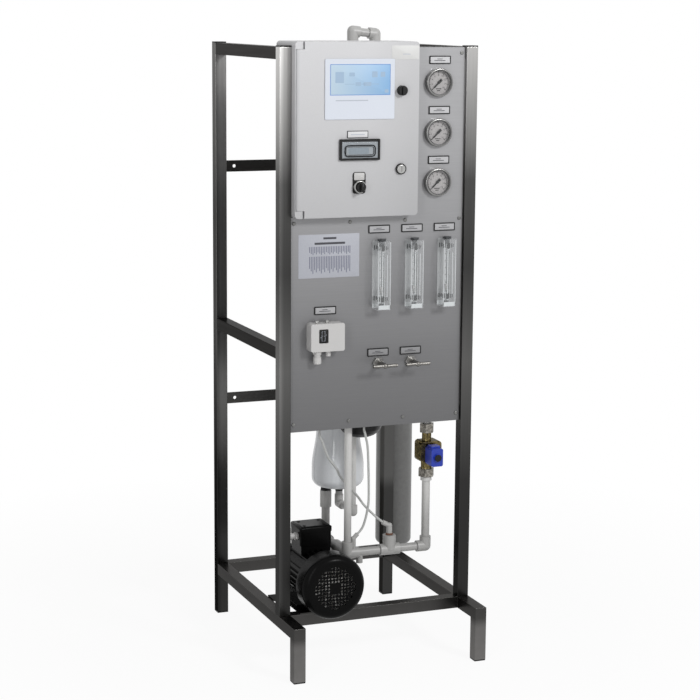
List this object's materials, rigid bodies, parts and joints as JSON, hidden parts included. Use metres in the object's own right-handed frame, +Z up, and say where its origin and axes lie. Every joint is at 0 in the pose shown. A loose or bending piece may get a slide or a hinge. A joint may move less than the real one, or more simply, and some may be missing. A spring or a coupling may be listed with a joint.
{
  "type": "reverse osmosis water system",
  "caption": "Floor-standing reverse osmosis rig: square-tube steel frame with a control cabinet, gauges, flowmeters and valves on a front panel, pump, filters, membrane vessel and pipework.",
  "frame": {"origin": "on the floor, below the middle of the object's overall box", "axes": "+X to the right seen from the front, +Y from the front panel to the back, +Z up"},
  "size_m": [0.6103, 0.7806, 1.595],
  "materials": {
    "frame_steel": "brushed",
    "panel_steel": "satin",
    "black_plastic": "matte",
    "bright_steel": "polished",
    "cabinet_paint": "fine texture",
    "seal_rubber": "matte",
    "zinc_steel": "satin",
    "device_white": "satin",
    "fascia_white": "satin",
    "dark_plastic": "satin",
    "clear_plastic": "clear",
    "dial_white": "matte",
    "needle_black": "matte",
    "float_steel": "polished",
    "valve_brass": "satin",
    "motor_black": "satin",
    "rotor_steel": "satin",
    "pump_steel": "satin",
    "vessel_white": "gloss",
    "housing_black": "satin",
    "vessel_grey": "satin",
    "coil_blue": "satin",
    "pipe_white": "satin",
    "tube_clear": "satin"
  },
  "bodies": {
    "stand": {"front_posts": "frame_steel", "rear_posts": "frame_steel", "base_frame": "frame_steel", "side_rails": "frame_steel", "panel_rails": "frame_steel", "rear_bars": "frame_steel", "tube_plugs": "black_plastic", "front_panel": "panel_steel", "panel_screws": "bright_steel", "label_holders": "black_plastic", "cabinet_body": "cabinet_paint", "door_seal": "seal_rubber", "hinge_pins": "bright_steel", "mounting_plate": "zinc_steel", "control_gear": "device_white", "gauge_cases": "bright_steel", "gauge_dials": "dial_white", "gauge_lenses": "clear_plastic", "flowmeter_blocks": "clear_plastic", "flowmeter_fittings": "dark_plastic", "valve_bodies": "valve_brass", "pressure_switch": "device_white", "cable_glands": "device_white", "pump_plate": "zinc_steel", "motor": "motor_black", "fan_cover": "motor_black", "terminal_box": "motor_black", "pump": "pump_steel", "filter_vessel": "vessel_white", "cartridge_filter": "housing_black", "membrane_vessel": "vessel_grey", "vessel_brackets": "frame_steel", "solenoid_valve": "valve_brass", "solenoid_coil": "coil_blue", "feed_riser": "pipe_white", "feed_manifold": "pipe_white", "vessel_pipes": "pipe_white", "return_pipe": "pipe_white", "permeate_line": "pipe_white", "sensing_tube": "tube_clear", "sample_tube": "tube_clear"},
    "door": {"cabinet_door": "cabinet_paint", "controller": "fascia_white", "window_frame": "dark_plastic", "selector_bezel": "dark_plastic"},
    "window_flap_body": {"window_flap": "clear_plastic"},
    "selector_knob_body": {"selector_knob": "black_plastic"},
    "upper_lock_body": {"upper_lock": "black_plastic"},
    "lower_lock_body": {"lower_lock": "bright_steel"},
    "upper_needle_body": {"upper_needle": "needle_black"},
    "middle_needle_body": {"middle_needle": "needle_black"},
    "lower_needle_body": {"lower_needle": "needle_black"},
    "left_float_body": {"left_float": "float_steel"},
    "middle_float_body": {"middle_float": "float_steel"},
    "right_float_body": {"right_float": "float_steel"},
    "left_valve_handle_body": {"left_valve_handle": "bright_steel"},
    "right_valve_handle_body": {"right_valve_handle": "bright_steel"},
    "range_spindle_body": {"range_spindle": "bright_steel"},
    "difference_spindle_body": {"difference_spindle": "bright_steel"},
    "motor_rotor_body": {"motor_rotor": "rotor_steel"}
  },
  "joints": [
    {"name": "door_hinge", "type": "hinge", "parent": "stand", "child": "door", "pos_m": [-0.26315, -0.2953, 1.35], "axis": [0, 0, -1], "range_deg": [0, 90]},
    {"name": "flap_hinge", "type": "hinge", "parent": "door", "child": "window_flap_body", "pos_m": [-0.11015, -0.3088, 1.3195], "axis": [-1, 0, 0], "range_deg": [0, 100]},
    {"name": "selector_turn", "type": "hinge", "parent": "door", "child": "selector_knob_body", "pos_m": [-0.11015, -0.3133, 1.212], "axis": [0, 1, 0], "range_deg": [-45, 45]},
    {"name": "upper_lock_turn", "type": "hinge", "parent": "door", "child": "upper_lock_body", "pos_m": [-0.00115, -0.3053, 1.443], "axis": [0, -1, 0], "range_deg": [0, 90]},
    {"name": "lower_lock_turn", "type": "hinge", "parent": "door", "child": "lower_lock_body", "pos_m": [-0.00115, -0.3053, 1.253], "axis": [0, -1, 0], "range_deg": [0, 90]},
    {"name": "upper_needle_turn", "type": "hinge", "parent": "stand", "child": "upper_needle_body", "pos_m": [0.11185, -0.2723, 1.46], "axis": [0, 1, 0], "range_deg": [0, 270], "stiffness_Nm_per_rad": 0.002},
    {"name": "middle_needle_turn", "type": "hinge", "parent": "stand", "child": "middle_needle_body", "pos_m": [0.11185, -0.2723, 1.3375], "axis": [0, 1, 0], "range_deg": [0, 270], "stiffness_Nm_per_rad": 0.002},
    {"name": "lower_needle_turn", "type": "hinge", "parent": "stand", "child": "lower_needle_body", "pos_m": [0.11185, -0.2723, 1.215], "axis": [0, 1, 0], "range_deg": [0, 270], "stiffness_Nm_per_rad": 0.002},
    {"name": "left_float_slide", "type": "slide", "parent": "stand", "child": "left_float_body", "axis": [0, 0, 1], "range_m": [0, 0.095]},
    {"name": "middle_float_slide", "type": "slide", "parent": "stand", "child": "middle_float_body", "axis": [0, 0, 1], "range_m": [0, 0.095]},
    {"name": "right_float_slide", "type": "slide", "parent": "stand", "child": "right_float_body", "axis": [0, 0, 1], "range_m": [0, 0.095]},
    {"name": "left_valve_turn", "type": "hinge", "parent": "stand", "child": "left_valve_handle_body", "pos_m": [-0.04165, -0.2703, 0.768], "axis": [0, -1, 0], "range_deg": [0, 720]},
    {"name": "right_valve_turn", "type": "hinge", "parent": "stand", "child": "right_valve_handle_body", "pos_m": [0.04635, -0.2703, 0.768], "axis": [0, -1, 0], "range_deg": [0, 720]},
    {"name": "range_setting", "type": "hinge", "parent": "stand", "child": "range_spindle_body", "pos_m": [-0.21015, -0.2868, 0.879], "axis": [0, 0, 1], "range_deg": [0, 1080]},
    {"name": "difference_setting", "type": "hinge", "parent": "stand", "child": "difference_spindle_body", "pos_m": [-0.18415, -0.2868, 0.879], "axis": [0, 0, 1], "range_deg": [0, 1080]},
    {"name": "rotor_turn", "type": "hinge", "parent": "stand", "child": "motor_rotor_body", "pos_m": [-0.17815, -0.2703, 0.2175], "axis": [0, 1, 0], "continuous": true}
  ]
}
